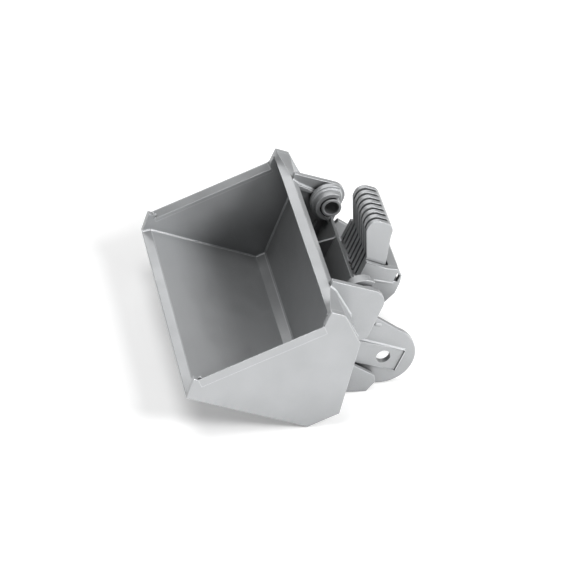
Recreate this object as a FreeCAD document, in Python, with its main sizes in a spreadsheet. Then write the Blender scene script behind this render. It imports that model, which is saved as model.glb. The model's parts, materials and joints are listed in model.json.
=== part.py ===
"""Wide ditching bucket with a snap-on swinging hitch, at model scale (millimetres).

Everything is drawn in the bucket's own drawing frame: the origin is the middle of the stick-pin
axis, +X is the width, +Y runs along the floor plate away from the lip, and +Z is square to the
floor plate. One shared placement then tips the whole assembly by the rest angle about the pin
axis, so that in the finished part +Z is up and the bucket stands on its heel and rest lugs.

Formulas are written with sheet names in angle brackets, such as "<width> / 2".
"""
import FreeCAD, Part
import os
import re
import Sketcher

V = FreeCAD.Vector
doc = FreeCAD.newDocument("DitchingBucket")

# ---------------------------------------------------------------- driving dimensions
# "forward" is towards the lip (-Y), "back" is away from it, both measured from the stick-pin axis.

DRIVING_SIZES = (
    # shell
    ("width", 120, "overall width across the side plates"),
    ("wall", 2.5, "thickness of the shell plates"),
    ("rest_angle", 22.5, "tilt of the floor plate when the bucket stands, degrees"),
    ("reach", 83, "forward to the lip"),
    ("depth", 27, "down to the underside of the floor"),
    ("heel_forward", 28, "forward to the heel corner"),
    ("heel_rise", 10, "height of the 45 degree heel facet"),
    ("heel_strip", 4.6, "width of the heel facet seen inside the bowl"),
    ("edge_width", 3.5, "width of the cutting edge bar"),
    ("edge_nose", 0.6, "blunt thickness of the cutting edge"),
    ("edge_land", 0.4, "flat land behind the cutting edge's bevel"),
    ("lip_height", 10, "height of the side plate at the lip"),
    ("lip_lean", 1, "forward lean of the side plate's front end"),
    ("rim_start", 2, "setback of the sloping rim behind the front end"),
    ("rim_run", 39, "length of the 45 degree rim along the floor"),
    ("rim_step", 7.4, "rise from the rim's end to the crown"),
    ("rim_bar", 4, "width of the bevelled side cutter"),
    ("rim_bevel", 2.3, "bevel of the side cutter"),
    ("crown_width", 6.3, "flat top of the side plate"),
    ("shoulder_forward", 24.8, "forward to the side plate's rear shoulder"),
    ("shoulder_up", 18.4, "up to the side plate's rear shoulder"),
    ("back_lean", 2.3, "forward lean of the back plate over its height"),
    ("bend_up", 13.8, "up to the bend between back plate and crown panel"),
    ("bend_rise", 1, "rise of the bend's outer corner above its inner one"),
    ("crown_slope", 41.5, "slope of the crown panel, degrees"),
    ("crown_bar", 4.5, "width of the crown bar along the panel"),
    ("crown_height", 5.2, "height of the crown bar off the panel's inner face"),
    ("ridge_set", 3.8, "ridge of the crown bar behind its inner edge"),
    ("ridge_rise", 2.2, "ridge of the crown bar above its inner edge"),
    # ears, bosses, rest lugs and keeper on the back of the bucket
    ("ear_inner", 38, "middle of the bucket to an ear's inner face"),
    ("ear_plate", 2.3, "thickness of ears and rest lugs"),
    ("ear_fall", 0.6, "fall of the ear's top edge towards the bucket"),
    ("ear_round", 6.5, "radius of the ear's upper tip"),
    ("web_depth", 1.8, "depth of the web on the inside of an ear"),
    ("boss_forward", 21, "forward to the hitch hinge axis"),
    ("boss_up", 25.4, "up to the hitch hinge axis"),
    ("boss_outer", 4.35, "outer radius of the boss"),
    ("boss_core", 3.15, "radius of the hollow core of the boss"),
    ("boss_mouth", 28.6, "middle of the bucket to the boss's mouth"),
    ("boss_flange", 6, "radius of the boss's flange"),
    ("flange_gap", 0.2, "side clearance between boss flange and hitch cheek"),
    ("core_depth", 9, "depth of the hollow core of the boss"),
    ("lug_round", 1.6, "radius of the rest lug's rear corners"),
    ("lug_root", 3, "down to the top of the rest lug's root"),
    ("keeper_down", 7.5, "down to the keeper's upper face"),
    ("keeper_half", 7, "half width of the keeper at its root"),
    ("keeper_taper", 2, "narrowing of the keeper on each side"),
    ("keeper_gap", 0.2, "clearance of the bolt in the keeper"),
    # hitch
    ("pin_bore", 3.15, "radius of the stick-pin bore"),
    ("cheek_inner", 33.3, "middle of the bucket to a hitch cheek's inner face"),
    ("cheek_plate", 2.3, "thickness of the hitch cheeks"),
    ("cheek_round", 14, "radius of the round end of the hitch cheek"),
    ("cheek_slope", 64, "where the cheek's upper edge meets its round end, degrees above the rear"),
    ("hook_gap", 0.06, "running clearance between hook and boss"),
    ("hook_outer", 8.2, "outer radius of the cheek's hook"),
    ("collar_outer", 6.8, "outer radius of the hook collar"),
    ("collar_bore", 4.9, "inner radius of the hook collar"),
    ("collar_depth", 4.1, "depth of the hook collar inside the cheek"),
    ("shelf", 1.8, "thickness of the shelf from the collar to the hitch plate"),
    ("mouth_low", 72, "lower edge of the hook's mouth, degrees below the rear"),
    ("mouth_high", 78, "upper edge of the hook's mouth, degrees above the rear"),
    ("hitch_front", 18.8, "forward to the hitch plate's front face"),
    ("hitch_sheet", 1.8, "thickness of the hitch plate"),
    ("hitch_top", 19.75, "up to the hitch plate's top edge"),
    ("hitch_foot", 6.5, "down to the hitch plate's lower edge"),
    ("rib_place", 16, "middle of the bucket to a stop rib"),
    ("rib_sheet", 1.2, "thickness of a stop rib"),
    ("rib_top", 19.4, "up to the stop rib's root at the top"),
    ("rib_foot", 2, "down to the stop rib's root at the bottom"),
    ("pad_half", 5.3, "half height of the pad around the pin bore"),
    ("pad_front", 16.5, "forward to the pad's thick end"),
    ("pad_rear", 8, "back to the pad's thin end"),
    ("pad_thick", 2.3, "thickness of the pad at its front end"),
    ("pad_thin", 0.1, "thickness of the pad at its rear end"),
    # bracket and hood around the lever
    ("bracket_gap", 0.25, "side clearance between lever and bracket"),
    ("bracket_plate", 2.3, "thickness of the bracket cheeks"),
    ("bracket_root_low", 5, "up to the lower end of the bracket's root"),
    ("bracket_root_high", 30.2, "up to the upper end of the bracket's root"),
    ("hood_skin", 1.4, "thickness of the hood"),
    ("window_place", 9, "middle of the bucket to the hood's window"),
    ("eye_width", 1.6, "width of the bracket's slotted eye"),
    # ribbed lever
    ("pivot_forward", 4, "forward to the lever pivot"),
    ("pivot_up", 21, "up to the lever pivot"),
    ("pivot_radius", 1.5, "radius of the lever pin"),
    ("pivot_gap", 0.05, "running clearance on the lever pin"),
    ("pivot_reach", 1.2, "reach of the lever pin into each bracket cheek"),
    ("pivot_floor", 0.2, "clearance behind each end of the lever pin"),
    ("blade_pitch", 3.6, "spacing of the grip blades"),
    ("blade_slot", 1.5, "width of the slots between the blades"),
    ("blade_count", 8, "number of grip blades"),
    ("grip_round", 4.2, "radius of the grip's head"),
    # fork and lock bolt
    ("fork_inner", 1.5, "middle of the bucket to a fork prong's inner face"),
    ("fork_outer", 3.2, "middle of the bucket to a fork prong's outer face"),
    ("fork_half", 0.7, "half thickness of the fork prongs"),
    ("fork_drop", 5.2, "from the lever pivot down to the fork's tips"),
    ("fork_front", 11.2, "forward to the front of the fork's posts"),
    ("fork_rear", 9.6, "forward to the rear of the fork's posts"),
    ("fork_play", 0.15, "clearance between fork tip and collar"),
    ("bolt_forward", 14, "forward to the lock bolt's axis"),
    ("bolt_radius", 2, "radius of the lock bolt"),
    ("bolt_gap", 0.05, "running clearance of the bolt in its guides"),
    ("bolt_neck", 1.2, "radius of the bolt between its collars"),
    ("bolt_tip", 7.2, "down to the drawn bolt's tip"),
    ("collar_radius", 2.2, "radius of the bolt's collars"),
    ("collar_gap", 3, "gap between the bolt's collars"),
    ("collar_plate", 1, "thickness of each collar"),
    ("guide_land", 4, "guide and keeper material behind the bolt's axis"),
    ("guide_half", 4, "half width of a bolt guide"),
    ("guide_corner", 1.5, "cut corners of a bolt guide"),
    ("guide_height", 3, "height of a bolt guide"),
    ("guide_upper", 7.2, "up to the underside of the upper guide"),
    ("guide_lower", -4.5, "up to the underside of the lower guide"),
)

# Corners of the free outlines: name, y, z and what they are.
CORNERS = (
    ("ear_peak", -13.4, 32.4, "ear's upper tip"),
    ("ear_tip", -12.9, 9.6, "ear's lower tip"),
    ("ear_foot", -14.9, 7.4, "rear end of the ear's lower edge"),
    ("web_peak", -27, 26.6, "upper end of the ear web, at the boss's flange"),
    ("web_sole", -27, 25.4, "lower end of the ear web"),
    ("lug_heel", -9, -18.6, "rest lug's lowest corner in the drawing frame"),
    ("lug_toe", -1.3, -16.1, "rest lug's toe, which stands on the ground"),
    ("lug_nose", 0.3, -10.5, "rest lug's nose"),
    ("lug_top", -1.4, -7.5, "rest lug's upper corner"),
    ("cheek_toe", -20.5, -13.6, "hitch cheek's lower corner"),
    ("cheek_shin", -22, -11, "lower end of the cheek's front edge"),
    ("cheek_neck", -22, 14.5, "upper end of the cheek's front edge"),
    ("cheek_crest", -15.2, 18.4, "front end of the cheek's upper edge"),
    ("rib_tip", -25.4, 14.6, "stop rib's upper corner, just clear of the bend"),
    ("rib_toe", -24.6, 4, "stop rib's lower corner, just clear of the back plate"),
    ("bracket_top", -8, 29.8, "front end of the bracket's top edge"),
    ("bracket_peak", -2.2, 30.7, "bracket's highest point"),
    ("bracket_brow", 0.5, 28.2, "bracket's upper rear corner"),
    ("bracket_nose", 1.3, 24.5, "upper end of the bracket's rear edge"),
    ("bracket_jaw", 1.4, 19, "lower end of the bracket's rear edge"),
    ("bracket_chin", -0.7, 13.7, "bracket's lower rear corner"),
    ("bracket_keel", -7, 7.5, "bracket's underside"),
    ("hood_front", -6.2, 30.1, "hood's front edge"),
    ("window_low", -2.2, 24.2, "hood window's lower front corner"),
    ("window_high", 3, 29.2, "hood window's upper rear corner"),
    ("eye_low", -0.3, 24.8, "lower rear corner of the bracket's eye"),
    ("eye_high", -0.3, 28, "upper rear corner of the bracket's eye"),
    ("grip_foot", -16.6, 19.8, "front of the blades' feet"),
    ("grip_waist", -17, 31.2, "front of the grip's waist"),
    ("grip_neck", -22.6, 42.8, "front of the grip below its head"),
    ("grip_front", -23.2, 49.2, "front of the grip's head"),
    ("grip_rear", -12.2, 49.2, "rear of the grip's head"),
    ("grip_nape", -11.3, 43.6, "rear of the grip below its head"),
    ("grip_back", -7.9, 31.6, "rear of the grip's waist"),
    ("grip_hip", -6.8, 27.2, "where the grip runs out into the hub"),
    ("hub_top", -1.6, 23, "upper rear corner of the hub"),
    ("hub_heel", -2.2, 18.4, "lower rear corner of the hub"),
    ("grip_sole", -12.5, 18.4, "underside of the hub"),
    ("web_shin", -12.4, 24, "web's front face near its foot"),
    ("web_waist", -13.6, 34, "web's front face at the waist"),
    ("web_neck", -15.4, 43, "web's front face below the head"),
    ("web_top", -14.6, 52, "web's front face above the grip"),
    ("notch_foot", -9.4, 34, "lower end of the notches in the grip's rear"),
    ("notch_neck", -12.3, 46.5, "deepest point of the rear notches"),
    ("notch_top", -10.2, 52, "rear notches above the grip"),
)

cells = list(DRIVING_SIZES)
for name, y, z, meaning in CORNERS:
    cells.append((name + "_y", y, meaning + ", along the floor"))
    cells.append((name + "_z", z, meaning + ", square to the floor"))

sheet = doc.addObject("Spreadsheet::Sheet", "Sizes")
for row, (alias, value, meaning) in enumerate(cells, start=1):
    sheet.set("A%d" % row, meaning)
    sheet.set("B%d" % row, str(value))
    sheet.setAlias("B%d" % row, alias)
doc.recompute()


def sized(formula):
    """Point a formula's bracketed names at the sheet."""
    return re.sub(r"<(\w+)>", r"Sizes.\1", formula)


def value_of(formula):
    """The present value of a formula."""
    return float(sheet.evalExpression(sized(formula)))


def minus(formula):
    return "-(%s)" % formula


def corner(name):
    """A named corner of a free outline, as a pair of formulas."""
    return ("<%s_y>" % name, "<%s_z>" % name)


def corners(*names):
    return [corner(name) for name in names]


def moved(point, back="0", up="0"):
    """A point shifted by two formulas."""
    return ("%s + (%s)" % (point[0], back), "%s + (%s)" % (point[1], up))


def box(low, high):
    """Corners of the rectangle between two opposite points."""
    return [low, (high[0], low[1]), high, (low[0], high[1])]


# ---------------------------------------------------------------- shared points, as (y, z) formulas

LIP = ("-<reach>", "-<depth>")
HEEL = ("-<heel_forward>", "-<depth>")
HEEL_END = moved(HEEL, "<heel_rise>", "<heel_rise>")
SHOULDER = ("-<shoulder_forward>", "<shoulder_up>")
FRONT_TOP = moved(LIP, "-<lip_lean>", "<lip_height>")
RIM_LOW = moved(FRONT_TOP, "<rim_start>")
RIM_HIGH = moved(RIM_LOW, "<rim_run>", "<rim_run>")
CROWN_FRONT = moved(RIM_HIGH, "0", "<rim_step>")
CROWN_BACK = moved(CROWN_FRONT, "<crown_width>")

# The side cutter is rim_bar wide, measured square to the 45 degree rim.
RIM_LOW_IN = moved(RIM_LOW, "<rim_bar> * cos(45 deg)", "-<rim_bar> * sin(45 deg)")
RIM_HIGH_IN = moved(RIM_HIGH, "<rim_bar> * cos(45 deg)", "-<rim_bar> * sin(45 deg)")

# Inner corners of the bowl. A 45 degree bend moves its inner corner forward by wall * tan(22.5).
EDGE_LINE = "-<reach> + <edge_width>"
FLOOR_END = moved(HEEL, "-<wall> * tan(22.5 deg)", "<wall>")
STRIP_END = moved(FLOOR_END, "<heel_strip> * cos(45 deg)", "<heel_strip> * sin(45 deg)")
HEEL_END_IN = moved(HEEL_END, "-<wall> * cos(45 deg)", "<wall> * sin(45 deg)")
BEND = (STRIP_END[0] + " - <back_lean>", "<bend_up>")

# The crown panel rises forward from the bend to the inner edge of the crown bar.
SLOPE_COS = "cos(<crown_slope> * 1 deg)"
SLOPE_SIN = "sin(<crown_slope> * 1 deg)"
PANEL_RUN = "(%s - (%s))" % (BEND[0], CROWN_FRONT[0])
CROWN_IN = (CROWN_FRONT[0], "<bend_up> + %s * tan(<crown_slope> * 1 deg)" % PANEL_RUN)
BAR_FOOT = moved(CROWN_IN, "<crown_bar> * " + SLOPE_COS, "-<crown_bar> * " + SLOPE_SIN)
BAR_BACK = moved(BAR_FOOT, "<crown_height> * " + SLOPE_SIN, "<crown_height> * " + SLOPE_COS)
RIDGE = moved(CROWN_IN, "<ridge_set>", "<ridge_rise>")

# Outer face of the back: up from the heel facet, round the bend and along the crown panel.
BACK_FOOT_OUT = moved(STRIP_END, "<wall>", "<wall>")
BEND_OUT = moved(BEND, "<wall>", "<bend_rise>")
PANEL_TOP_OUT = moved(BAR_FOOT, "<wall> * " + SLOPE_SIN, "<wall> * " + SLOPE_COS)

BOSS = ("-<boss_forward>", "<boss_up>")
PIVOT = ("-<pivot_forward>", "<pivot_up>")
PIN = ("0", "0")
HITCH_FRONT = "-<hitch_front>"
HITCH_BACK = "-<hitch_front> + <hitch_sheet>"

# The lock bolt's axis, as (x, y), the fork that works it, and the rear faces of the blocks around it.
BOLT_AXIS = ("0", "-<bolt_forward>")
FORK_TIP = ("-<bolt_forward>", "<pivot_up> - <fork_drop>")
GUIDE_REAR = "-<bolt_forward> + <guide_land>"

# Distances from the middle of the bucket.
HALF = "<width> / 2"
INSIDE = "<width> / 2 - <wall>"
EAR_OUT = "<ear_inner> + <ear_plate>"
CHEEK_OUT = "<cheek_inner> + <cheek_plate>"
GRIP_HALF = "(<blade_count> * <blade_pitch> - <blade_slot>) / 2"
BRACKET_IN = GRIP_HALF + " + <bracket_gap>"
BRACKET_OUT = BRACKET_IN + " + <bracket_plate>"

resting = FreeCAD.Placement(V(0, 0, 0), FreeCAD.Rotation(V(1, 0, 0), -value_of("<rest_angle>")))
parts = []


# ---------------------------------------------------------------- drawing helpers

def new_body(label):
    """A sub-part: one PartDesign body, tipped into the standing pose."""
    body = doc.addObject("PartDesign::Body", label)
    body.Label = label
    body.Placement = resting
    parts.append(body)
    return body


def origin_feature(body, role):
    """One of a body's own origin planes or axes."""
    return next(item for item in body.Origin.OriginFeatures if item.Role == role)


def bind(feature, prop, formula):
    feature.setExpression(prop, sized(formula))


def bind_last_constraint(sketch, name, formula):
    sketch.renameConstraint(sketch.ConstraintCount - 1, name)
    bind(sketch, "Constraints." + name, formula)


def fix_point(sketch, geometry, position, point):
    """Tie a sketch point to two formulas measured from the origin."""
    for kind, formula in zip(("DistanceX", "DistanceY"), point):
        sketch.addConstraint(Sketcher.Constraint(kind, -1, 1, geometry, position, value_of(formula)))
        bind_last_constraint(sketch, "%s_%d" % (kind, geometry), formula)


def draw_outline(sketch, points):
    """A closed outline of straight lines through the points."""
    spots = [V(value_of(a), value_of(b), 0) for a, b in points]
    count = len(spots)
    for index in range(count):
        sketch.addGeometry(Part.LineSegment(spots[index], spots[(index + 1) % count]), False)
    for index, point in enumerate(points):
        sketch.addConstraint(Sketcher.Constraint("Coincident", index, 2, (index + 1) % count, 1))
        fix_point(sketch, index, 1, point)


def draw_circle(sketch, centre, radius):
    spot = V(value_of(centre[0]), value_of(centre[1]), 0)
    index = sketch.addGeometry(Part.Circle(spot, V(0, 0, 1), value_of(radius)), False)
    fix_point(sketch, index, 3, centre)
    sketch.addConstraint(Sketcher.Constraint("Radius", index, value_of(radius)))
    bind_last_constraint(sketch, "Radius_%d" % index, radius)


def new_sketch(body, offset, outline=(), circles=(), role="YZ_Plane"):
    """A sketch on an origin plane, moved along the plane's normal by a formula."""
    sketch = body.newObject("Sketcher::SketchObject", body.Name + "_sketch")
    sketch.AttachmentSupport = (origin_feature(body, role), [""])
    sketch.MapMode = "FlatFace"
    bind(sketch, "AttachmentOffset.Base.z", offset)
    if outline:
        draw_outline(sketch, outline)
    for centre, radius in circles:
        draw_circle(sketch, centre, radius)
    return sketch


def pad(body, low, high, outline=(), circles=(), role="YZ_Plane"):
    """Pad an outline and circles square to the plane, from formula low to formula high."""
    feature = body.newObject("PartDesign::Pad", body.Name + "_pad")
    feature.Profile = new_sketch(body, low, outline, circles, role)
    bind(feature, "Length", "%s - (%s)" % (high, low))
    body.Tip = feature


def pocket(body, low, high, outline=(), circles=(), role="YZ_Plane"):
    """Cut an outline and circles out of a body between two offsets, and check that it cuts."""
    doc.recompute()
    before = body.Shape.Volume
    feature = body.newObject("PartDesign::Pocket", body.Name + "_pocket")
    feature.Profile = new_sketch(body, low, outline, circles, role)
    feature.Reversed = True
    bind(feature, "Length", "%s - (%s)" % (high, low))
    body.Tip = feature
    doc.recompute()
    if body.Shape.Volume >= before:
        raise RuntimeError(body.Label + ": a pocket removed nothing")
    return feature


def edges_along(body, direction, start):
    """Names of the tip's straight edges that lie on the line through start along direction."""
    doc.recompute()
    names = []
    for number, edge in enumerate(body.Tip.Shape.Edges, start=1):
        ends = [vertex.Point for vertex in edge.Vertexes]
        if len(ends) != 2:
            continue
        parallel = (ends[1] - ends[0]).cross(direction).Length < 1e-5
        if parallel and (ends[0] - start).cross(direction).Length < 1e-5:
            names.append("Edge%d" % number)
    return names


def dress(body, kind, edges, prop, formula):
    """Add a fillet or a chamfer to named edges of the tip."""
    if not edges:
        raise RuntimeError(body.Label + ": no edge to dress")
    base = body.Tip
    feature = body.newObject("PartDesign::" + kind, body.Name + "_" + kind.lower())
    feature.Base = (base, edges)
    bind(feature, prop, formula)
    body.Tip = feature


def round_corners(body, points, radius):
    """Fillet the edges along the width that pass through the given (y, z) points."""
    edges = []
    for y, z in points:
        edges += edges_along(body, V(1, 0, 0), V(0, value_of(y), value_of(z)))
    dress(body, "Fillet", edges, "Radius", radius)


def plate(label, low, high, outline=(), circles=()):
    """A piece whose section lies across the width."""
    body = new_body(label)
    pad(body, low, high, outline, circles)
    return body


def both_sides(build, name, inner, outer):
    """Build a left (-X) and a right (+X) copy between two distances from the middle."""
    build(name + "_left", minus(outer), minus(inner))
    build(name + "_right", inner, outer)


def is_right(low):
    return value_of(low) > 0


# ---------------------------------------------------------------- bucket shell

def wrapper_plate():
    """Floor and heel facet, bent from one sheet."""
    floor_start = (EDGE_LINE, LIP[1])
    floor_start_in = (EDGE_LINE, FLOOR_END[1])
    outline = [floor_start, HEEL, HEEL_END, HEEL_END_IN, FLOOR_END, floor_start_in]
    plate("wrapper_plate", minus(INSIDE), INSIDE, outline)


def cutting_edge():
    """Bevelled bar along the lip."""
    nose_top = moved(LIP, "0", "<edge_nose>")
    bevel_top = (EDGE_LINE + " - <edge_land>", FLOOR_END[1])
    outline = [LIP, (EDGE_LINE, LIP[1]), (EDGE_LINE, FLOOR_END[1]), bevel_top, nose_top]
    plate("cutting_edge", minus(INSIDE), INSIDE, outline)


def back_plate():
    """Back of the bowl, bent forward at the top into the crown panel."""
    outline = [STRIP_END, BACK_FOOT_OUT, BEND_OUT, PANEL_TOP_OUT, BAR_FOOT, BEND]
    plate("back_plate", minus(INSIDE), INSIDE, outline)


def crown_bar():
    """Bar along the top of the back, whose ridge runs out to the front corner past the ears."""
    middle = [CROWN_IN, BAR_FOOT, BAR_BACK, RIDGE]
    ends = [CROWN_IN, BAR_FOOT, CROWN_BACK, CROWN_FRONT]
    body = plate("crown_bar", minus(EAR_OUT), EAR_OUT, middle)
    for near, far in ((minus(EAR_OUT), minus(INSIDE)), (EAR_OUT, INSIDE)):
        loft = body.newObject("PartDesign::AdditiveLoft", "crown_end")
        loft.Profile = new_sketch(body, near, middle)
        loft.Sections = [new_sketch(body, far, ends)]
        loft.Ruled = True
        body.Tip = loft


def side_plate(label, low, high):
    outline = [LIP, HEEL, HEEL_END, SHOULDER, CROWN_BACK, CROWN_FRONT, RIM_HIGH, RIM_HIGH_IN,
               RIM_LOW_IN, RIM_LOW, FRONT_TOP]
    plate(label, low, high, outline)


def side_cutter(label, low, high):
    """Bar along the sloping rim, bevelled on the bowl's side."""
    body = plate(label, low, high, [RIM_LOW, RIM_LOW_IN, RIM_HIGH_IN, RIM_HIGH])
    bowl_face = low if is_right(low) else high
    rim_start = V(value_of(bowl_face), value_of(RIM_LOW[0]), value_of(RIM_LOW[1]))
    dress(body, "Chamfer", edges_along(body, V(0, 1, 1), rim_start), "Size", "<rim_bevel>")


def wing_panel(label, low, high):
    """Panel that closes the back between an ear and a side plate."""
    plate(label, low, high, [BAR_BACK, SHOULDER, HEEL_END, HEEL_END_IN, BEND_OUT, PANEL_TOP_OUT])


def ear(label, low, high):
    """Plate that carries a boss, standing on the back plate and the crown panel."""
    lean = "<back_lean> / (%s - (%s))" % (BEND_OUT[1], BACK_FOOT_OUT[1])
    root = (BEND_OUT[0] + " + %s * (%s - <ear_foot_z>)" % (lean, BEND_OUT[1]), "<ear_foot_z>")
    outline = corners("ear_peak", "ear_tip", "ear_foot")
    outline += [root, BEND_OUT, PANEL_TOP_OUT, BAR_BACK, RIDGE, (RIDGE[0], "<ear_peak_z> - <ear_fall>")]
    body = plate(label, low, high, outline)
    round_corners(body, corners("ear_peak"), "<ear_round>")


def rest_lug(label, low, high):
    """Foot behind the heel that the bucket stands on."""
    outline = [HEEL_END] + corners("lug_heel", "lug_toe", "lug_nose", "lug_top")
    outline += [(BACK_FOOT_OUT[0], "-<lug_root>"), BACK_FOOT_OUT, HEEL_END_IN]
    body = plate(label, low, high, outline)
    round_corners(body, corners("lug_nose", "lug_top"), "<lug_round>")


def ear_web(label, low, high):
    """Web on the inside of an ear, between the crown bar and the boss."""
    plate(label, low, high, [PANEL_TOP_OUT, BAR_BACK] + corners("web_peak", "web_sole"))


def pin_boss(label, low, high):
    """Stepped boss on the inside of an ear, cored out from its mouth."""
    flange_face = CHEEK_OUT + " + <flange_gap>"
    body = plate(label, low, high, circles=[(BOSS, "<boss_outer>")])
    if is_right(low):
        pad(body, flange_face, high, circles=[(BOSS, "<boss_flange>")])
        pocket(body, low, low + " + <core_depth>", circles=[(BOSS, "<boss_core>")])
    else:
        pad(body, low, minus(flange_face), circles=[(BOSS, "<boss_flange>")])
        pocket(body, high + " - <core_depth>", high, circles=[(BOSS, "<boss_core>")])


def keeper():
    """Shelf on the back plate that the lock bolt drops into."""
    root = BACK_FOOT_OUT[0]
    shelf = [("-<keeper_half>", root), ("<keeper_half>", root),
             ("<keeper_half> - <keeper_taper>", GUIDE_REAR), ("-<keeper_half> + <keeper_taper>", GUIDE_REAR)]
    hole = (BOLT_AXIS, "<bolt_radius> + <keeper_gap>")
    pad(new_body("keeper"), "-<keeper_down> - <wall>", "-<keeper_down>", shelf, [hole], "XY_Plane")


# ---------------------------------------------------------------- hitch, hung on the ears' bosses

def round_boss(radius, degrees, up="-"):
    """A point at a radius from the hinge axis, some degrees below (-) or above (+) the rear."""
    angle = "(<%s> * 1 deg)" % degrees
    return moved(BOSS, "%s * cos%s" % (radius, angle), "%s%s * sin%s" % (up, radius, angle))


def cut_hook(body, low, high, bore):
    """Open a disc around the boss into a hook: bore it, then cut its mouth at the rear."""
    beyond = "(<hook_outer> * 2)"
    mouth = [BOSS, round_boss(beyond, "mouth_low"), moved(BOSS, beyond, beyond),
             round_boss(beyond, "mouth_high", up="+")]
    pocket(body, low, high, circles=[(BOSS, bore)])
    pocket(body, low, high, mouth)


def hitch_cheek(label, low, high):
    """Side of the hitch: a round lug for the stick pin, running up into a hook."""
    angle = "(<cheek_slope> * 1 deg)"
    tangent = ("<cheek_round> * cos" + angle, "<cheek_round> * sin" + angle)
    hook_front = moved(BOSS, "-<hook_outer> * cos(45 deg)", "-<hook_outer> * sin(45 deg)")
    neck = corners("cheek_shin", "cheek_toe") + [("0", "-<cheek_round>"), tangent, corner("cheek_crest")]
    neck += [round_boss("<hook_outer>", "mouth_low"), hook_front, corner("cheek_neck")]
    body = plate(label, low, high, neck)
    pad(body, low, high, circles=[(PIN, "<cheek_round>")])
    pad(body, low, high, circles=[(BOSS, "<hook_outer>")])
    cut_hook(body, low, high, "<boss_outer> + <hook_gap>")
    pocket(body, low, high, circles=[(PIN, "<pin_bore>")])


def hook_collar(label, low, high):
    """Deep open collar inside the cheek, joined to the hitch plate by a short shelf."""
    body = plate(label, low, high, circles=[(BOSS, "<collar_outer>")])
    plate_top = (HITCH_FRONT, "<hitch_top>")
    shelf_top = moved(BOSS, "0", "-<collar_bore>")
    shelf = [plate_top, shelf_top, moved(shelf_top, "0", "-<shelf>"), moved(plate_top, "0", "-<shelf>")]
    pad(body, low, high, shelf)
    cut_hook(body, low, high, "<collar_bore>")


def lug_pad(label, low, high):
    """Wedge-shaped pad that frames the pin bore on the outside of the cheek."""
    face, sign = (low, "+") if is_right(low) else (high, "-")
    wedge = [(face, "-<pad_front>"), (face, "<pad_rear>"), (face + sign + "<pad_thin>", "<pad_rear>"),
             (face + sign + "<pad_thick>", "-<pad_front>")]
    body = new_body(label)
    pad(body, "-<pad_half>", "<pad_half>", wedge, role="XY_Plane")
    pocket(body, low, high, circles=[(PIN, "<pin_bore>")])


def hitch_plate():
    """Cross plate that joins the two cheeks."""
    outline = box((HITCH_FRONT, "-<hitch_foot>"), (HITCH_BACK, "<hitch_top>"))
    plate("hitch_plate", "-<cheek_inner>", "<cheek_inner>", outline)


def stop_rib(label, low, high):
    """Rib that stops the hitch against the back of the bucket."""
    root = [(HITCH_FRONT, "-<rib_foot>"), (HITCH_FRONT, "<rib_top>")]
    plate(label, low, high, root + corners("rib_tip", "rib_toe"))


def bolt_guide(label, low):
    """Block on the hitch plate that the lock bolt slides through."""
    shoulder = GUIDE_REAR + " - <guide_corner>"
    face = "<guide_half> - <guide_corner>"
    block = [("-<guide_half>", HITCH_BACK), ("<guide_half>", HITCH_BACK), ("<guide_half>", shoulder),
             (face, GUIDE_REAR), (minus(face), GUIDE_REAR), ("-<guide_half>", shoulder)]
    bore = (BOLT_AXIS, "<bolt_radius> + <bolt_gap>")
    pad(new_body(label), low, low + " + <guide_height>", block, [bore], "XY_Plane")


def lever_bracket(label, low, high):
    """Cheek beside the lever, with a blind hole for its pin and a slotted eye at the rear tip."""
    outline = corners("bracket_top", "bracket_peak", "bracket_brow", "bracket_nose", "bracket_jaw",
                      "bracket_chin", "bracket_keel")
    outline += [(HITCH_BACK, "<bracket_root_low>"), (HITCH_BACK, "<bracket_root_high>")]
    body = plate(label, low, high, outline)
    hole = [(PIVOT, "<pivot_radius> + <pivot_gap>")]
    reach = "(<pivot_reach> + <pivot_floor>)"
    if is_right(low):
        pocket(body, low, low + " + " + reach, circles=hole)
    else:
        pocket(body, high + " - " + reach, high, circles=hole)
    low_point, high_point = corners("eye_low", "eye_high")
    eye = [low_point, high_point, moved(high_point, "-<eye_width>", "<eye_width> / 2"),
           moved(low_point, "-<eye_width>")]
    pocket(body, low, high, eye)


def lever_hood():
    """Bent cover between the bracket cheeks, behind the lever, with a window at each end."""
    front, peak, brow = corners("hood_front", "bracket_peak", "bracket_brow")
    nose, jaw, chin = corners("bracket_nose", "bracket_jaw", "bracket_chin")
    skin = "-<hood_skin>"
    inside = [moved(chin, skin), moved(jaw, skin), moved(nose, skin),
              moved(brow, skin + " * cos(45 deg)", skin + " * sin(45 deg)"),
              moved(peak, "0", skin), moved(front, "0", skin)]
    outside = [front, peak, brow, nose, jaw, chin]
    body = plate("lever_hood", minus(BRACKET_IN), BRACKET_IN, outside + inside)
    window = box(corner("window_low"), corner("window_high"))
    pocket(body, minus(BRACKET_IN), "-<window_place>", window)
    pocket(body, "<window_place>", BRACKET_IN, window)


def lever_pin():
    end = BRACKET_IN + " + <pivot_reach>"
    plate("lever_pin", minus(end), end, circles=[(PIVOT, "<pivot_radius>")])


# ---------------------------------------------------------------- ribbed lever and lock bolt

def cut_slots(body, outline):
    """One slot beside the outermost blade, repeated between all the others."""
    first = minus(GRIP_HALF) + " + <blade_pitch> - <blade_slot>"
    slot = pocket(body, first, first + " + <blade_slot>", outline)
    row = body.newObject("PartDesign::LinearPattern", "slot_row")
    row.Originals = [slot]
    row.Direction = (origin_feature(body, "X_Axis"), [""])
    bind(row, "Length", "(<blade_count> - 2) * <blade_pitch>")
    bind(row, "Occurrences", "<blade_count> - 1")
    body.Tip = row


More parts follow.
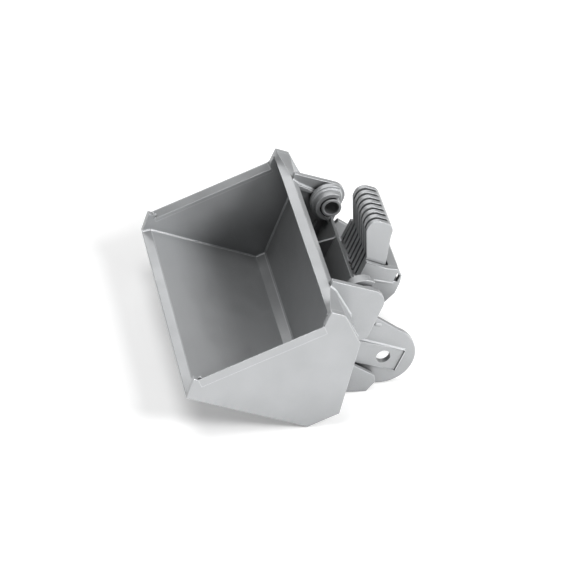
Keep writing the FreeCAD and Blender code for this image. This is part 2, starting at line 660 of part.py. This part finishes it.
def ribbed_lever():
    """Finger grip: blades joined by a web, on a hub, with a fork that works the lock bolt."""
    blade = corners("grip_foot", "grip_waist", "grip_neck", "grip_front", "grip_rear", "grip_nape",
                    "grip_back", "grip_hip", "hub_top", "hub_heel", "grip_sole")
    body = plate("ribbed_lever", minus(GRIP_HALF), GRIP_HALF, blade)
    round_corners(body, corners("grip_front", "grip_rear"), "<grip_round>")

    # Deep slots in front of the web and shallow notches behind it, all starting outside the grip.
    beyond = "<grip_front_y> * 2"
    foot = ("<grip_sole_y>", "0")
    web = corners("web_shin", "web_waist", "web_neck", "web_top")
    cut_slots(body, [(beyond, "0"), foot] + web + [(beyond, "<web_top_z>")])
    notch = corners("notch_top", "notch_neck", "notch_foot")
    cut_slots(body, notch + [("0", "<notch_foot_z>"), ("0", "<notch_top_z>")])
    doc.recompute()

    # Two fork prongs below the hub. Their posts stay behind the bolt's collars.
    post = box(("-<fork_front>", FORK_TIP[1] + " - <fork_half>"), ("-<fork_rear>", "<pivot_up>"))
    prong = box(moved(FORK_TIP, "0", "-<fork_half>"), ("-<fork_rear>", FORK_TIP[1] + " + <fork_half>"))
    for low, high in (("-<fork_outer>", "-<fork_inner>"), ("<fork_inner>", "<fork_outer>")):
        pad(body, low, high, post)
        pad(body, low, high, prong)
        pad(body, low, high, circles=[(FORK_TIP, "<collar_gap> / 2 - <fork_play>")])
    pocket(body, minus(GRIP_HALF), GRIP_HALF, circles=[(PIVOT, "<pivot_radius> + <pivot_gap>")])


def lock_bolt():
    """Round bolt with two collars that the lever's fork works between."""
    gap_low = FORK_TIP[1] + " - <collar_gap> / 2"
    gap_high = FORK_TIP[1] + " + <collar_gap> / 2"
    stretches = (("-<bolt_tip>", gap_low, "<bolt_radius>"),
                 (gap_low + " - <collar_plate>", gap_low, "<collar_radius>"),
                 (gap_low, gap_high, "<bolt_neck>"),
                 (gap_high, gap_high + " + <collar_plate>", "<collar_radius>"))
    body = new_body("lock_bolt")
    for low, high, radius in stretches:
        pad(body, low, high, circles=[(BOLT_AXIS, radius)], role="XY_Plane")


# ---------------------------------------------------------------- assembly

wrapper_plate()
cutting_edge()
back_plate()
crown_bar()
both_sides(side_plate, "side_plate", INSIDE, HALF)
both_sides(side_cutter, "side_cutter", INSIDE, HALF)
both_sides(wing_panel, "wing_panel", EAR_OUT, INSIDE)
both_sides(ear, "ear", "<ear_inner>", EAR_OUT)
both_sides(rest_lug, "rest_lug", "<ear_inner>", EAR_OUT)
both_sides(ear_web, "ear_web", "<ear_inner> - <web_depth>", "<ear_inner>")
both_sides(pin_boss, "pin_boss", "<boss_mouth>", "<ear_inner>")
keeper()

both_sides(hitch_cheek, "hitch_cheek", "<cheek_inner>", CHEEK_OUT)
both_sides(hook_collar, "hook_collar", "<cheek_inner> - <collar_depth>", "<cheek_inner>")
both_sides(lug_pad, "lug_pad", CHEEK_OUT, CHEEK_OUT + " + <pad_thick>")
hitch_plate()
both_sides(stop_rib, "stop_rib", "<rib_place>", "<rib_place> + <rib_sheet>")
bolt_guide("bolt_guide_upper", "<guide_upper>")
bolt_guide("bolt_guide_lower", "<guide_lower>")
both_sides(lever_bracket, "lever_bracket", BRACKET_IN, BRACKET_OUT)
lever_hood()
lever_pin()
ribbed_lever()
lock_bolt()

doc.recompute()
for item in doc.Objects:
    if "Invalid" in item.State or "Error" in item.State:
        raise RuntimeError(item.Name + " did not recompute")
for body in parts:
    if body.Shape.isNull() or not body.Shape.isValid() or len(body.Shape.Solids) != 1:
        raise RuntimeError(body.Label + " is not one valid solid")

os.makedirs("parts", exist_ok=True)
for body in parts:
    body.Shape.exportStep("parts/%s.step" % body.Label)
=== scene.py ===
"""Looks of the model-scale ditching bucket: moulded silver plastic on a white table.

The rigid CAD nodes are shown as moulded pieces: each is the node's own surface with its open edges
rounded. Inner corners between neighbouring pieces get small fillets, as a moulding has.
"""
import json
import math

import bmesh
import bpy
from mathutils import Matrix, Vector
from mathutils.bvhtree import BVHTree


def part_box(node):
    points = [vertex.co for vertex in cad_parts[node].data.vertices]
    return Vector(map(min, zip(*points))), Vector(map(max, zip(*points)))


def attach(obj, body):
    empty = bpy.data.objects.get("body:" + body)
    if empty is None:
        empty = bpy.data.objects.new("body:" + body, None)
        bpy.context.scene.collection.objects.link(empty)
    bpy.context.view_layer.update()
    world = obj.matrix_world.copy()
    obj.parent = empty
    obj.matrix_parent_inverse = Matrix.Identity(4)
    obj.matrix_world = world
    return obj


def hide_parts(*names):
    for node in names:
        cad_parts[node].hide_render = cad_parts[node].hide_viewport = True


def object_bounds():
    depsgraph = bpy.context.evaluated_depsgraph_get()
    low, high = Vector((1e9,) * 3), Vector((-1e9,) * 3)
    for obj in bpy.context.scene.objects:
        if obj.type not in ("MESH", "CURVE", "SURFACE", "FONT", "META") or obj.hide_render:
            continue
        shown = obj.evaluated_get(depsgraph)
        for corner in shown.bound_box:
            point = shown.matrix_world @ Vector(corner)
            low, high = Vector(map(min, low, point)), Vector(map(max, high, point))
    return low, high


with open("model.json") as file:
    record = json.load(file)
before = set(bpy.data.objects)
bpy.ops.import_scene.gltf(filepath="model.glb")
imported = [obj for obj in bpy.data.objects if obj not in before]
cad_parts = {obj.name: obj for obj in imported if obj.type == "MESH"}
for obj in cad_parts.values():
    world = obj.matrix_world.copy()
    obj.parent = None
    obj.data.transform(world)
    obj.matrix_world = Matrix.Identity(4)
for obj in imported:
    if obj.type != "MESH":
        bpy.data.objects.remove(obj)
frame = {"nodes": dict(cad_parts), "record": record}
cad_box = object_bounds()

MM = 0.001

# Rounded edges and filled inner corners of the moulding.
EDGE_ROUND = 0.28 * MM
EDGE_ROUND_OF = {"cutting_edge": 0.15 * MM, "lug_pad_left": 0.08 * MM, "lug_pad_right": 0.08 * MM,
                 "lever_pin": 0.1 * MM, "lock_bolt": 0.2 * MM}
EDGE_SEGMENTS = 3
FILLET = 0.7 * MM
FILLET_STEPS = 6
FILLET_SUNK = 0.08 * MM

# How edges are told apart: points a probe's length away from them are tested along a skew ray.
SAME_POINT = 0.001 * MM
SAME_PLANE = math.radians(1)
SHARP = math.radians(25)
SAMPLE_SPACING = MM
NEIGHBOUR_REACH = MM
PROBE = 0.12 * MM
PROBE_DIRECTION = Vector((0.31, 0.47, 0.83)).normalized()
STEP_OFF_SURFACE = 0.0005 * MM
SAME_SHARE = 1e-6

# Angles below which neighbouring faces are shaded as one. The crown bar's faces all stay apart.
SMOOTH_BELOW = math.radians(30)
SMOOTH_BELOW_OF = {"crown_bar": math.radians(1)}
FILLET_SMOOTH_BELOW = math.radians(35)
BEAD_SMOOTH_BELOW = math.radians(60)

# The bucket is drawn level and stands tipped back by this angle.
REST_ANGLE = math.radians(22.5)

# Small marks of the moulding, in millimetres of the drawing frame, on the outer faces of the lever
# brackets, the round lugs and the side cutters' front ends: body, start, end, radius and rise.
MARKS = {"bracket_rib": ("hitch", (16.2, -15.2, 22.2), (16.2, -2, 23.6), 0.55, 0.3),
         "lug_dimple": ("hitch", (35.6, -9.6, 14), (35.6, -8, 14.2), 0.8, 0.35),
         "cutter_nub": ("bucket", (58, -81.2, -17.4), (58, -80.6, -16.8), 0.7, 0.7)}
BEAD_SEGMENTS = 24
BEAD_RINGS = 16

# Finishes: each plastic has a tone and the stretch of its flow streaks.
ALONG_WIDTH = (0.15, 1, 1)
UP_THE_GRIP = (1, 1, 0.2)
AROUND_THE_PIN = (1, 0.1, 6)
PLASTICS = {"bucket_plastic": (0.43, ALONG_WIDTH),
            "hitch_plastic": (0.42, ALONG_WIDTH),
            "lever_plastic": (0.45, UP_THE_GRIP)}
SILVER_TINT = (0.98, 1.0, 1.02)
STEEL_TINT = (1.0, 0.99, 0.97)

# Noise scales, in features per metre.
FLOW_SCALE = 45
FLAKE_SCALE = 5200
GRAIN_SCALE = 2600
SWELL_SCALE = 240
HANDLING_SCALE = 90
SCRATCH_SCALE = 26
SCRATCH_PATCH_SCALE = 60
SCRATCH_HALF_WIDTH = 0.0025
TARNISH_SCALE = 300
STEEL_HANDLING_SCALE = 700
TURNING_SCALE = 900

# How far worn and painted-highlight edges and painted shade in corners and hollows reach, how high the
# surface grain is, and the cosines of the lean between a rounded normal and the real one that count as a
# flat face and as an edge.
FLAT_COSINE = 0.995
EDGE_COSINE = 0.9
EDGE_WEAR_AND_HIGHLIGHT_REACH = 0.35 * MM
CORNER_SHADE_REACH = 3.5 * MM
HOLLOW_SHADE_REACH = 45 * MM
PIN_CORNER_SHADE_REACH = 2 * MM
PLASTIC_RELIEF = 0.012 * MM
STEEL_RELIEF = 0.01 * MM

# Stage. Each light has its azimuth and elevation in degrees, its size in metres and its power in
# watts. The camera's lens is in millimetres.
FLOOR_SIZE = 8
FLOOR_GREY = (0.9, 0.9, 0.9, 1)
FLOOR_GLOW = 0.22
WORLD_GLOW = 0.05
WHITE = (1, 1, 1, 1)
LIGHT_DISTANCE = 1.2
LIGHT_TARGET = (0, -30 * MM, 10 * MM)
LIGHTS = {"overhead": (0, 80, 0.8, 7),
          "rear_high": (135, 40, 0.5, 10),
          "rear_low": (165, 12, 0.6, 5),
          "far_side": (270, 22, 1.2, 7),
          "near_side": (90, 11, 0.2, 3)}
CAMERA_LENS = 189.3
CAMERA_AZIMUTH = 77.71
CAMERA_ELEVATION = 36.18
CAMERA_DISTANCE = 1263.6 * MM
CAMERA_ROLL = math.radians(2.17)
CAMERA_TARGET = Vector((-1.2, -34.7, 13.6)) * MM
CAMERA_NEAREST = 0.01


def add_object(name, data):
    """A new object, linked to the scene."""
    made = bpy.data.objects.new(name, data)
    bpy.context.scene.collection.objects.link(made)
    return made


# ---------------------------------------------------------------- solid tests

def node_surface(node):
    """A CAD node's closed surface, with its flat faces merged."""
    surface = bmesh.new()
    surface.from_mesh(frame["nodes"][node].data)
    bmesh.ops.remove_doubles(surface, verts=surface.verts, dist=SAME_POINT)
    bmesh.ops.dissolve_limit(surface, angle_limit=SAME_PLANE, verts=surface.verts, edges=surface.edges)
    return surface


def ray_tree(node):
    """A CAD node's closed surface, ready for ray tests."""
    surface = bmesh.new()
    surface.from_mesh(frame["nodes"][node].data)
    tree = BVHTree.FromBMesh(surface)
    surface.free()
    return tree


def is_inside(point, trees):
    """Whether a point lies in any of the closed surfaces, by counting the surfaces along a ray."""
    for tree in trees:
        hits = 0
        spot = point
        while spot is not None:
            spot = tree.ray_cast(spot + PROBE_DIRECTION * STEP_OFF_SURFACE, PROBE_DIRECTION)[0]
            hits += spot is not None
        if hits % 2:
            return True
    return False


def are_neighbours(box, other):
    """Whether two boxes come within reach of each other along every axis."""
    (low, high), (other_low, other_high) = box, other
    return all(other_low[i] < high[i] + NEIGHBOUR_REACH and other_high[i] > low[i] - NEIGHBOUR_REACH
               for i in range(3))


def edge_kind(edge, point, trees):
    """What a sharp edge is at a point: open, the start of an inner corner against a neighbour, or neither.

    For an inner corner it also gives the two directions that run away from it along the surfaces.
    """
    sides = []
    for loop in edge.link_loops:
        normal = loop.face.normal
        along = loop.link_loop_next.vert.co - loop.vert.co
        sides.append((normal, normal.cross(along).normalized()))
    covered = [is_inside(point + (normal + inward) * PROBE, trees) for normal, inward in sides]
    if not any(covered):
        outward = (sides[0][0] + sides[1][0]).normalized()
        return ("neither" if is_inside(point + outward * PROBE, trees) else "open"), None
    if all(covered):
        return "neither", None
    hidden, free = (0, 1) if covered[0] else (1, 0)
    normal, inward = sides[hidden]
    if is_inside(point + (normal - inward) * PROBE, trees):
        return "corner", (sides[free][1], -inward)
    return "neither", None


# ---------------------------------------------------------------- pieces

def finish_mesh(mesh, smooth_below):
    """Shade a mesh smooth, except across edges sharper than an angle."""
    mesh.shade_smooth()
    mesh.set_sharp_from_angle(angle=smooth_below)


def corner_runs(edge, samples):
    """Stretches of an edge, as start, end and directions, where it is an inner corner."""
    start, end = edge.verts[0].co, edge.verts[1].co
    runs = []
    count = len(samples)
    for index, (kind, directions) in enumerate(samples):
        if kind != "corner":
            continue
        low, high = index / count, (index + 1) / count
        if runs and abs(runs[-1][1] - low) < SAME_SHARE:
            runs[-1][1] = high
        else:
            runs.append([low, high, directions])
    return [(start.lerp(end, low), start.lerp(end, high), directions) for low, high, directions in runs]


def add_fillet(strip, start, end, directions, radius):
    """Add a closed strip with a hollow face along an inner corner to a bmesh."""
    first, second = directions
    profile = [(first + second) * -FILLET_SUNK]
    for step in range(FILLET_STEPS + 1):
        share = step / FILLET_STEPS
        profile.append(first * radius * (1 - share) ** 2 + second * radius * share ** 2)
    rings = [[strip.verts.new(spot + offset) for offset in profile] for spot in (start, end)]
    count = len(profile)
    for index in range(count):
        following = (index + 1) % count
        strip.faces.new((rings[0][index], rings[0][following], rings[1][following], rings[1][index]))
    strip.faces.new(rings[0][::-1])
    strip.faces.new(rings[1])


def round_edges(piece, node):
    """Round the weighted edges of a piece."""
    bevel = piece.modifiers.new("edges", "BEVEL")
    bevel.limit_method = "WEIGHT"
    bevel.width = EDGE_ROUND_OF.get(node, EDGE_ROUND)
    bevel.segments = EDGE_SEGMENTS
    bevel.use_clamp_overlap = False
    bevel.harden_normals = True


def moulded(node, body, trees, strip):
    """Show a CAD node as a moulded piece, and add its inner corners to the body's fillets."""
    surface = node_surface(node)
    weights = surface.edges.layers.float.new("bevel_weight_edge")
    for edge in surface.edges:
        if len(edge.link_faces) != 2 or edge.calc_face_angle(0) < SHARP:
            continue
        start, end = edge.verts[0].co, edge.verts[1].co
        count = max(2, math.ceil((end - start).length / SAMPLE_SPACING))
        samples = [edge_kind(edge, start.lerp(end, (i + 0.5) / count), trees) for i in range(count)]
        kinds = [kind for kind, directions in samples]
        if kinds.count("open") * 2 > count:
            edge[weights] = 1
        for run_start, run_end, directions in corner_runs(edge, samples):
            add_fillet(strip, run_start, run_end, directions, FILLET)
    mesh = bpy.data.meshes.new(node + "_moulded")
    surface.to_mesh(mesh)
    surface.free()
    finish_mesh(mesh, SMOOTH_BELOW_OF.get(node, SMOOTH_BELOW))
    piece = add_object(mesh.name, mesh)
    round_edges(piece, node)
    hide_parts(node)
    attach(piece, body)
    return piece


def fillets(body, strip):
    """One piece of all the fillets between a body's pieces."""
    bmesh.ops.recalc_face_normals(strip, faces=strip.faces)
    mesh = bpy.data.meshes.new(body + "_fillets")
    strip.to_mesh(mesh)
    finish_mesh(mesh, FILLET_SMOOTH_BELOW)
    piece = add_object(mesh.name, mesh)
    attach(piece, body)
    return piece


def build_body(body, nodes):
    """All pieces of one moving body, with one set of fillets between them."""
    trees = {node: ray_tree(node) for node in nodes}
    boxes = {node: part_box(node) for node in nodes}
    strip = bmesh.new()
    made = []
    for node in nodes:
        near = [trees[other] for other in nodes
                if other != node and are_neighbours(boxes[node], boxes[other])]
        made.append(moulded(node, body, near, strip))
    if len(strip.verts):
        made.append(fillets(body, strip))
    strip.free()
    return made


# ---------------------------------------------------------------- small moulded marks

def from_drawing(x, y, z):
    """A point of the CAD drawing frame, in millimetres, in the standing frame."""
    return Matrix.Rotation(-REST_ANGLE, 3, "X") @ Vector((x, y, z)) * MM


def bead_mesh(name, start, end, outward, radius, rise):
    """A ball drawn out from start to end, which stands out of the face by its rise."""
    shape = bmesh.new()
    bmesh.ops.create_uvsphere(shape, u_segments=BEAD_SEGMENTS, v_segments=BEAD_RINGS, radius=1)
    along = (end - start).normalized()
    across = outward.cross(along)
    for vert in shape.verts:
        out, run, over = vert.co
        anchor = end if run > 0 else start
        vert.co = anchor + (outward * out * rise + along * run * radius + across * over * radius) * MM
    bmesh.ops.recalc_face_normals(shape, faces=shape.faces)
    mesh = bpy.data.meshes.new(name)
    shape.to_mesh(mesh)
    shape.free()
    finish_mesh(mesh, BEAD_SMOOTH_BELOW)
    return mesh


def pair_of_beads(name, body, start, end, radius, rise):
    """A low bead on each outer face of a body."""
    made = []
    for side, sign in (("left", -1), ("right", 1)):
        first, last = (from_drawing(sign * x, y, z) for x, y, z in (start, end))
        mesh = bead_mesh("%s_%s" % (name, side), first, last, Vector((sign, 0, 0)), radius, rise)
        piece = add_object(mesh.name, mesh)
        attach(piece, body)
        made.append(piece)
    return made


# ---------------------------------------------------------------- materials

def new_material(name):
    """An empty node material, its node tree and its Principled shader."""
    material = bpy.data.materials.new(name)
    material.use_nodes = True
    tree = material.node_tree
    return material, tree, tree.nodes["Principled BSDF"]


def noise(tree, scale, detail=3.0, stretch=(1, 1, 1)):
    """Noise stretched along the axes: a small factor makes long streaks."""
    place = tree.nodes.new("ShaderNodeTexCoord")
    squeeze = tree.nodes.new("ShaderNodeMapping")
    squeeze.inputs["Scale"].default_value = stretch
    texture = tree.nodes.new("ShaderNodeTexNoise")
    texture.inputs["Scale"].default_value = scale
    texture.inputs["Detail"].default_value = detail
    tree.links.new(place.outputs["Object"], squeeze.inputs["Vector"])
    tree.links.new(squeeze.outputs["Vector"], texture.inputs["Vector"])
    return texture.outputs["Fac"]


def ranged(tree, value, low, high, to_low, to_high):
    """Map a value from one range to another, clamped."""
    node = tree.nodes.new("ShaderNodeMapRange")
    tree.links.new(value, node.inputs["Value"])
    for name, number in (("From Min", low), ("From Max", high), ("To Min", to_low), ("To Max", to_high)):
        node.inputs[name].default_value = number
    return node.outputs["Result"]


def combined(tree, operation, first, second=0.0):
    """A maths node on two sockets, or on a socket and a number."""
    node = tree.nodes.new("ShaderNodeMath")
    node.operation = operation
    tree.links.new(first, node.inputs[0])
    if isinstance(second, (int, float)):
        node.inputs[1].default_value = second
    else:
        tree.links.new(second, node.inputs[1])
    return node.outputs["Value"]


def edge_mask(tree, radius):
    """1 on outer and inner edges, 0 on flat faces: how far a rounded normal leans from the real one."""
    rounded = tree.nodes.new("ShaderNodeBevel")
    rounded.samples = 4
    rounded.inputs["Radius"].default_value = radius
    geometry = tree.nodes.new("ShaderNodeNewGeometry")
    product = tree.nodes.new("ShaderNodeVectorMath")
    product.operation = "DOT_PRODUCT"
    tree.links.new(rounded.outputs["Normal"], product.inputs[0])
    tree.links.new(geometry.outputs["Normal"], product.inputs[1])
    return ranged(tree, product.outputs["Value"], FLAT_COSINE, EDGE_COSINE, 0, 1)


def occlusion_shade_mask(tree, reach):
    """Ambient occlusion used as painted shade: 0 deep in slots and corners, 1 in the open."""
    occlusion = tree.nodes.new("ShaderNodeAmbientOcclusion")
    occlusion.samples = 8
    occlusion.inputs["Distance"].default_value = reach
    return occlusion.outputs["AO"]


def scratches(tree, scale, stretch):
    """Sparse thin lines: where a streaky noise crosses its middle value."""
    from_middle = combined(tree, "SUBTRACT", noise(tree, scale, 1.0, stretch), 0.5)
    thin = ranged(tree, combined(tree, "ABSOLUTE", from_middle), 0.0, SCRATCH_HALF_WIDTH, 1, 0)
    patches = ranged(tree, noise(tree, SCRATCH_PATCH_SCALE), 0.56, 0.66, 0, 1)
    return combined(tree, "MULTIPLY", thin, patches)


def bumped(tree, shader, height, distance):
    """Raise the surface by a height pattern, by up to a distance."""
    bump = tree.nodes.new("ShaderNodeBump")
    bump.inputs["Strength"].default_value = 1
    bump.inputs["Distance"].default_value = distance
    tree.links.new(height, bump.inputs["Height"])
    tree.links.new(bump.outputs["Normal"], shader.inputs["Normal"])


def tinted(tree, shader, brightness, tint):
    """Feed a grey brightness, times a tint, into the base colour."""
    colour = tree.nodes.new("ShaderNodeCombineColor")
    for channel, share in zip(("Red", "Green", "Blue"), tint):
        tree.links.new(combined(tree, "MULTIPLY", brightness, share), colour.inputs[channel])
    tree.links.new(colour.outputs["Color"], shader.inputs["Base Color"])


def silver_plastic(name, tone, streak):
    """Silver-pigmented moulding: flow streaks, flake sparkle, scratches, edges lighter from wear and a
    painted highlight, painted shade in corners and hollows.
    """
    material, tree, shader = new_material(name)
    flow = ranged(tree, noise(tree, FLOW_SCALE, 4.0, streak), 0.3, 0.7, 0.93, 1.05)
    flakes = ranged(tree, noise(tree, FLAKE_SCALE, 1.0), 0.3, 0.7, 0.95, 1.05)
    # Edges lighter, partly from wear and partly a painted highlight.
    worn_and_highlit_edges = ranged(tree, edge_mask(tree, EDGE_WEAR_AND_HIGHLIGHT_REACH), 0, 1, 1, 1.5)
    # Painted shade: darker deep in slots and corners.
    painted_corner_shade = ranged(tree, occlusion_shade_mask(tree, CORNER_SHADE_REACH), 0.2, 0.6, 0.06, 1)
    # Painted shade: the deep bowl and pockets darker.
    painted_hollow_shade = ranged(tree, occlusion_shade_mask(tree, HOLLOW_SHADE_REACH), 0.2, 0.7, 0.6, 1)
    marks = scratches(tree, SCRATCH_SCALE, streak)
    brightness = combined(tree, "MULTIPLY", flow, tone)
    for factor in (flakes, worn_and_highlit_edges, painted_corner_shade, painted_hollow_shade, ranged(tree, marks, 0, 1, 1, 1.12)):
        brightness = combined(tree, "MULTIPLY", brightness, factor)
    tinted(tree, shader, brightness, SILVER_TINT)
    handled = ranged(tree, noise(tree, HANDLING_SCALE, 5.0), 0.35, 0.65, 0.34, 0.45)
    roughness = combined(tree, "SUBTRACT", handled, combined(tree, "MULTIPLY", marks, 0.1))
    tree.links.new(roughness, shader.inputs["Roughness"])
    shader.inputs["Metallic"].default_value = 0.5
    grain = combined(tree, "MULTIPLY", noise(tree, GRAIN_SCALE, 2.0), 0.35)
    swell = combined(tree, "MULTIPLY", noise(tree, SWELL_SCALE, 2.0), 0.9)
    relief = combined(tree, "SUBTRACT", combined(tree, "ADD", grain, swell), marks)
    bumped(tree, shader, relief, PLASTIC_RELIEF)
    return material


def drawn_steel(name):
    """Steel wire with fine rings from turning and a little tarnish."""
    material, tree, shader = new_material(name)
    tarnish = ranged(tree, noise(tree, TARNISH_SCALE, 5.0), 0.35, 0.7, 0.42, 0.6)
    # Painted shade: darker in the corners around the pin.
    painted_corner_shade = ranged(tree, occlusion_shade_mask(tree, PIN_CORNER_SHADE_REACH), 0, 0.8, 0.5, 1)
    tinted(tree, shader, combined(tree, "MULTIPLY", tarnish, painted_corner_shade), STEEL_TINT)
    shader.inputs["Metallic"].default_value = 1
    handled = ranged(tree, noise(tree, STEEL_HANDLING_SCALE, 3.0), 0.3, 0.7, 0.25, 0.42)
    tree.links.new(handled, shader.inputs["Roughness"])
    bumped(tree, shader, noise(tree, TURNING_SCALE, 2.0, AROUND_THE_PIN), STEEL_RELIEF)
    return material


# ---------------------------------------------------------------- stage

def studio_floor():
    """White paper under the bucket, which glows a little so that its shadows stay pale."""
    low, high = cad_box
    bpy.ops.mesh.primitive_plane_add(size=FLOOR_SIZE, location=(0, 0, low.z))
    floor = bpy.context.object
    floor.name = "studio_floor"
    material, tree, shader = new_material("floor_paper")
    shader.inputs["Base Color"].default_value = FLOOR_GREY
    shader.inputs["Roughness"].default_value = 0.9
    shader.inputs["Emission Color"].default_value = WHITE
    shader.inputs["Emission Strength"].default_value = FLOOR_GLOW
    floor.data.materials.append(material)


def aim_at(thing, target, roll=0.0):
    """Turn a lamp or camera towards a point, rolled about its own axis."""
    direction = (Vector(target) - thing.location).normalized()
    facing = direction.to_track_quat("-Z", "Y").to_matrix()
    thing.rotation_euler = (facing @ Matrix.Rotation(roll, 3, "Z")).to_euler()


def around(target, azimuth, elevation, distance):
    """The point at a distance from a target, seen under an azimuth and elevation in degrees."""
    turn, rise = math.radians(azimuth), math.radians(elevation)
    back = Vector((math.sin(turn) * math.cos(rise), -math.cos(turn) * math.cos(rise), math.sin(rise)))
    return Vector(target) + back * distance


def soft_light(name, azimuth, elevation, size, power):
    """A round soft light that faces the bucket."""
    data = bpy.data.lights.new(name, "AREA")
    data.shape = "DISK"
    data.size = size
    data.energy = power
    lamp = add_object(name, data)
    lamp.location = around(LIGHT_TARGET, azimuth, elevation, LIGHT_DISTANCE)
    aim_at(lamp, LIGHT_TARGET)


def studio_camera():
    """A long lens, looking down into the bowl from the right."""
    data = bpy.data.cameras.new("camera")
    data.lens = CAMERA_LENS
    data.clip_start = CAMERA_NEAREST
    camera = add_object("camera", data)
    camera.location = around(CAMERA_TARGET, CAMERA_AZIMUTH, CAMERA_ELEVATION, CAMERA_DISTANCE)
    aim_at(camera, CAMERA_TARGET, CAMERA_ROLL)
    bpy.context.scene.camera = camera


def studio_world():
    """Faint white light from everywhere."""
    world = bpy.data.worlds.new("studio")
    world.use_nodes = True
    background = world.node_tree.nodes["Background"]
    background.inputs["Color"].default_value = WHITE
    background.inputs["Strength"].default_value = WORLD_GLOW
    bpy.context.scene.world = world
    bpy.context.scene.view_settings.view_transform = "Standard"


# ---------------------------------------------------------------- build

materials = {name: silver_plastic(name, tone, streak) for name, (tone, streak) in PLASTICS.items()}
materials["pin_steel"] = drawn_steel("pin_steel")

# A body's fillets have the finish of its first node.
slot_of = {row["node"]: row["material_slot"] for row in frame["record"]["subparts"]}
for body, nodes in frame["record"]["behaviour"]["bodies"].items():
    for piece in build_body(body, nodes):
        node = piece.name.replace("_moulded", "")
        piece.data.materials.clear()
        piece.data.materials.append(materials[slot_of.get(node, slot_of[nodes[0]])])

for name, (body, start, end, radius, rise) in MARKS.items():
    for piece in pair_of_beads(name, body, start, end, radius, rise):
        piece.data.materials.append(materials[body + "_plastic"])

studio_floor()
studio_camera()
for name, (azimuth, elevation, size, power) in LIGHTS.items():
    soft_light(name, azimuth, elevation, size, power)
studio_world()
